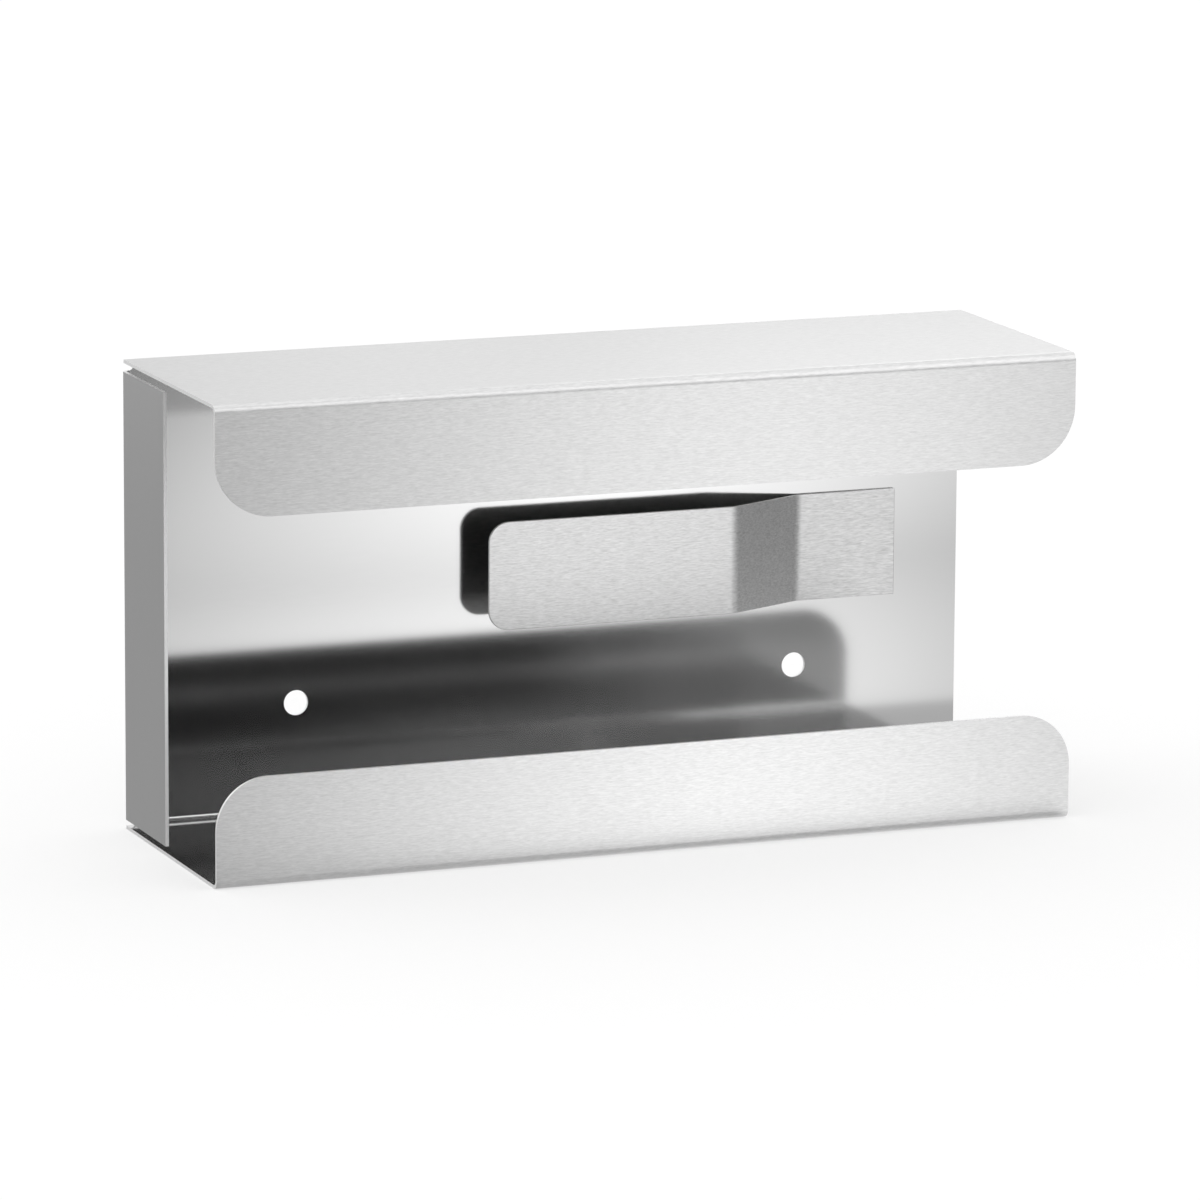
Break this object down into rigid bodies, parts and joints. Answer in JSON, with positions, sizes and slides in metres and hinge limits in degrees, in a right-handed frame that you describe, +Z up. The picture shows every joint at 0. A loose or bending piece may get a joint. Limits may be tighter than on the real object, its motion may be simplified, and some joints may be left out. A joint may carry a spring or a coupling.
{
  "type": "disposable glove dispenser",
  "caption": "Wall-mounted holder of folded stainless-steel sheet for a box of disposable gloves, open in front and at the right, with a leaf spring that presses the box against its lips.",
  "frame": {"origin": "centre of the underside of the bottom panel's bounding box, on the surface that the holder stands on when it isn't on a wall", "axes": "+X to the open end where the glove box slides in, +Y into the wall, +Z up"},
  "size_m": [0.257, 0.082, 0.135],
  "materials": {
    "housing_steel": "bare stainless sheet, finely brushed on its outer side and smooth on its inner side",
    "spring_steel": "bare stainless strip, finely brushed along its length"
  },
  "bodies": {
    "housing": {"housing": "housing_steel"},
    "leaf_spring": {"leaf_spring": "spring_steel"}
  },
  "joints": [
    {"name": "leaf_flex", "type": "hinge", "parent": "housing", "child": "leaf_spring", "pos_m": [0.07733, 0.03913, 0.0675], "axis": [0, 0, -1], "range_deg": [0, 6], "stiffness_Nm_per_rad": 7.8}
  ]
}
